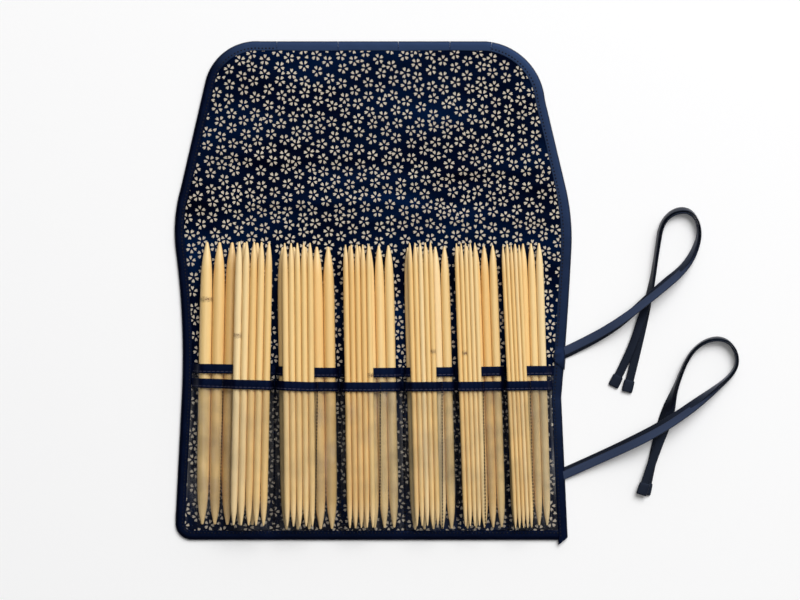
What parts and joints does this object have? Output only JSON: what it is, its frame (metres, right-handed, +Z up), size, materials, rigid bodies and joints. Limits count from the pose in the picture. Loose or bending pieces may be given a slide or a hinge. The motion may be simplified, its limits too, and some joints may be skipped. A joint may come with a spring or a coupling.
{
  "type": "double-pointed needle set",
  "caption": "Cloth roll case with clear pockets holding sets of double-pointed bamboo knitting needles of graded sizes, with a fold-over flap and tape ties.",
  "frame": {"origin": "under the middle of the open case, on the surface it lies on", "axes": "+Z up from the open case, +Y from the pockets' closed ends to the flap, +X towards the side with the ties"},
  "size_m": [0.3017, 0.2679, 0.015],
  "materials": {
    "printed_cloth": "woven cotton with a small blossom print",
    "binding_tape": "plain woven bias tape",
    "clear_vinyl": "clear glossy sheet",
    "hem_tape": "plain woven tape",
    "bamboo": "polished",
    "tie_tape": "plain woven narrow tape"
  },
  "bodies": {
    "panel_1": {"cloth_panel_1": "printed_cloth", "panel_binding_1": "binding_tape", "back_pocket_1": "clear_vinyl", "front_pocket_1": "clear_vinyl", "pocket_hems_1": "hem_tape"},
    "flap_1": {"cloth_flap_1": "printed_cloth", "flap_binding_1": "binding_tape"},
    "thick_set_1": {"thick_needles_1": "bamboo"},
    "thin_set_1": {"thin_needles_1": "bamboo"},
    "panel_2": {"cloth_panel_2": "printed_cloth", "panel_binding_2": "binding_tape", "back_pocket_2": "clear_vinyl", "front_pocket_2": "clear_vinyl", "pocket_hems_2": "hem_tape"},
    "flap_2": {"cloth_flap_2": "printed_cloth", "flap_binding_2": "binding_tape"},
    "thick_set_2": {"thick_needles_2": "bamboo"},
    "thin_set_2": {"thin_needles_2": "bamboo"},
    "panel_3": {"cloth_panel_3": "printed_cloth", "panel_binding_3": "binding_tape", "back_pocket_3": "clear_vinyl", "front_pocket_3": "clear_vinyl", "pocket_hems_3": "hem_tape"},
    "flap_3": {"cloth_flap_3": "printed_cloth", "flap_binding_3": "binding_tape"},
    "thick_set_3": {"thick_needles_3": "bamboo"},
    "thin_set_3": {"thin_needles_3": "bamboo"},
    "panel_4": {"cloth_panel_4": "printed_cloth", "panel_binding_4": "binding_tape", "back_pocket_4": "clear_vinyl", "front_pocket_4": "clear_vinyl", "pocket_hems_4": "hem_tape"},
    "flap_4": {"cloth_flap_4": "printed_cloth", "flap_binding_4": "binding_tape"},
    "thick_set_4": {"thick_needles_4": "bamboo"},
    "thin_set_4": {"thin_needles_4": "bamboo"},
    "panel_5": {"cloth_panel_5": "printed_cloth", "panel_binding_5": "binding_tape", "back_pocket_5": "clear_vinyl", "front_pocket_5": "clear_vinyl", "pocket_hems_5": "hem_tape"},
    "flap_5": {"cloth_flap_5": "printed_cloth", "flap_binding_5": "binding_tape"},
    "thick_set_5": {"thick_needles_5": "bamboo"},
    "thin_set_5": {"thin_needles_5": "bamboo"},
    "panel_6": {"cloth_panel_6": "printed_cloth", "panel_binding_6": "binding_tape", "back_pocket_6": "clear_vinyl", "front_pocket_6": "clear_vinyl", "pocket_hems_6": "hem_tape", "upper_tie_near_tail": "tie_tape", "upper_tie_far_tail": "tie_tape", "upper_tie_ends": "tie_tape", "lower_tie_near_tail": "tie_tape", "lower_tie_far_tail": "tie_tape", "lower_tie_ends": "tie_tape"},
    "flap_6": {"cloth_flap_6": "printed_cloth", "flap_binding_6": "binding_tape"},
    "thick_set_6": {"thick_needles_6": "bamboo"},
    "thin_set_6": {"thin_needles_6": "bamboo"}
  },
  "joints": [
    {"name": "fold_5", "type": "hinge", "parent": "panel_6", "child": "panel_5", "pos_m": [0.06779, 0, 0.0009], "axis": [-0.0332, 0.9995, 0], "range_deg": [0, 8]},
    {"name": "fold_4", "type": "hinge", "parent": "panel_5", "child": "panel_4", "pos_m": [0.04331, 0, 0.0009], "axis": [-0.0175, 0.9998, 0], "range_deg": [0, 10]},
    {"name": "fold_3", "type": "hinge", "parent": "panel_4", "child": "panel_3", "pos_m": [0.01527, 0, 0.0009], "axis": [-0.014, 0.9999, 0], "range_deg": [0, 34]},
    {"name": "fold_2", "type": "hinge", "parent": "panel_3", "child": "panel_2", "pos_m": [-0.01804, 0, 0.0009], "axis": [-0.0052, 1, 0], "range_deg": [0, 26]},
    {"name": "fold_1", "type": "hinge", "parent": "panel_2", "child": "panel_1", "pos_m": [-0.05206, 0, 0.0009], "axis": [0.0052, 1, 0], "range_deg": [0, 12]},
    {"name": "flap_fold_1", "type": "hinge", "parent": "panel_1", "child": "flap_1", "pos_m": [-0.08, 0.0307, 0.0087], "axis": [-1, 0, 0], "range_deg": [-180, 0]},
    {"name": "flap_fold_2", "type": "hinge", "parent": "panel_2", "child": "flap_2", "pos_m": [-0.035, 0.0307, 0.0087], "axis": [-1, 0, 0], "range_deg": [-180, 0]},
    {"name": "flap_fold_3", "type": "hinge", "parent": "panel_3", "child": "flap_3", "pos_m": [0, 0.0307, 0.0087], "axis": [-1, 0, 0], "range_deg": [-180, 0]},
    {"name": "flap_fold_4", "type": "hinge", "parent": "panel_4", "child": "flap_4", "pos_m": [0.03, 0.0307, 0.0087], "axis": [-1, 0, 0], "range_deg": [-180, 0]},
    {"name": "flap_fold_5", "type": "hinge", "parent": "panel_5", "child": "flap_5", "pos_m": [0.056, 0.0307, 0.0087], "axis": [-1, 0, 0], "range_deg": [-180, 0]},
    {"name": "flap_fold_6", "type": "hinge", "parent": "panel_6", "child": "flap_6", "pos_m": [0.084, 0.0307, 0.0087], "axis": [-1, 0, 0], "range_deg": [-180, 0]},
    {"name": "thick_draw_1", "type": "slide", "parent": "panel_1", "child": "thick_set_1", "axis": [0.0175, 0.9998, 0], "range_m": [0, 0.088]},
    {"name": "thin_draw_1", "type": "slide", "parent": "panel_1", "child": "thin_set_1", "axis": [0.0175, 0.9998, 0], "range_m": [0, 0.08]},
    {"name": "thick_draw_2", "type": "slide", "parent": "panel_2", "child": "thick_set_2", "axis": [-0.014, 0.9999, 0], "range_m": [0, 0.088]},
    {"name": "thin_draw_2", "type": "slide", "parent": "panel_2", "child": "thin_set_2", "axis": [-0.014, 0.9999, 0], "range_m": [0, 0.08]},
    {"name": "thick_draw_3", "type": "slide", "parent": "panel_3", "child": "thick_set_3", "axis": [-0.0209, 0.9998, 0], "range_m": [0, 0.088]},
    {"name": "thin_draw_3", "type": "slide", "parent": "panel_3", "child": "thin_set_3", "axis": [-0.0209, 0.9998, 0], "range_m": [0, 0.08]},
    {"name": "thick_draw_4", "type": "slide", "parent": "panel_4", "child": "thick_set_4", "axis": [-0.0262, 0.9997, 0], "range_m": [0, 0.088]},
    {"name": "thin_draw_4", "type": "slide", "parent": "panel_4", "child": "thin_set_4", "axis": [-0.0262, 0.9997, 0], "range_m": [0, 0.08]},
    {"name": "thick_draw_5", "type": "slide", "parent": "panel_5", "child": "thick_set_5", "axis": [-0.0332, 0.9995, 0], "range_m": [0, 0.088]},
    {"name": "thin_draw_5", "type": "slide", "parent": "panel_5", "child": "thin_set_5", "axis": [-0.0332, 0.9995, 0], "range_m": [0, 0.08]},
    {"name": "thick_draw_6", "type": "slide", "parent": "panel_6", "child": "thick_set_6", "axis": [-0.0297, 0.9996, 0], "range_m": [0, 0.088]},
    {"name": "thin_draw_6", "type": "slide", "parent": "panel_6", "child": "thin_set_6", "axis": [-0.0454, 0.999, 0], "range_m": [0, 0.08]}
  ],
  "couplings": [
    {"joint": "flap_fold_1", "follows": "flap_fold_3", "ratio": 1},
    {"joint": "flap_fold_2", "follows": "flap_fold_3", "ratio": 1},
    {"joint": "flap_fold_4", "follows": "flap_fold_3", "ratio": 1},
    {"joint": "flap_fold_5", "follows": "flap_fold_3", "ratio": 1},
    {"joint": "flap_fold_6", "follows": "flap_fold_3", "ratio": 1}
  ]
}
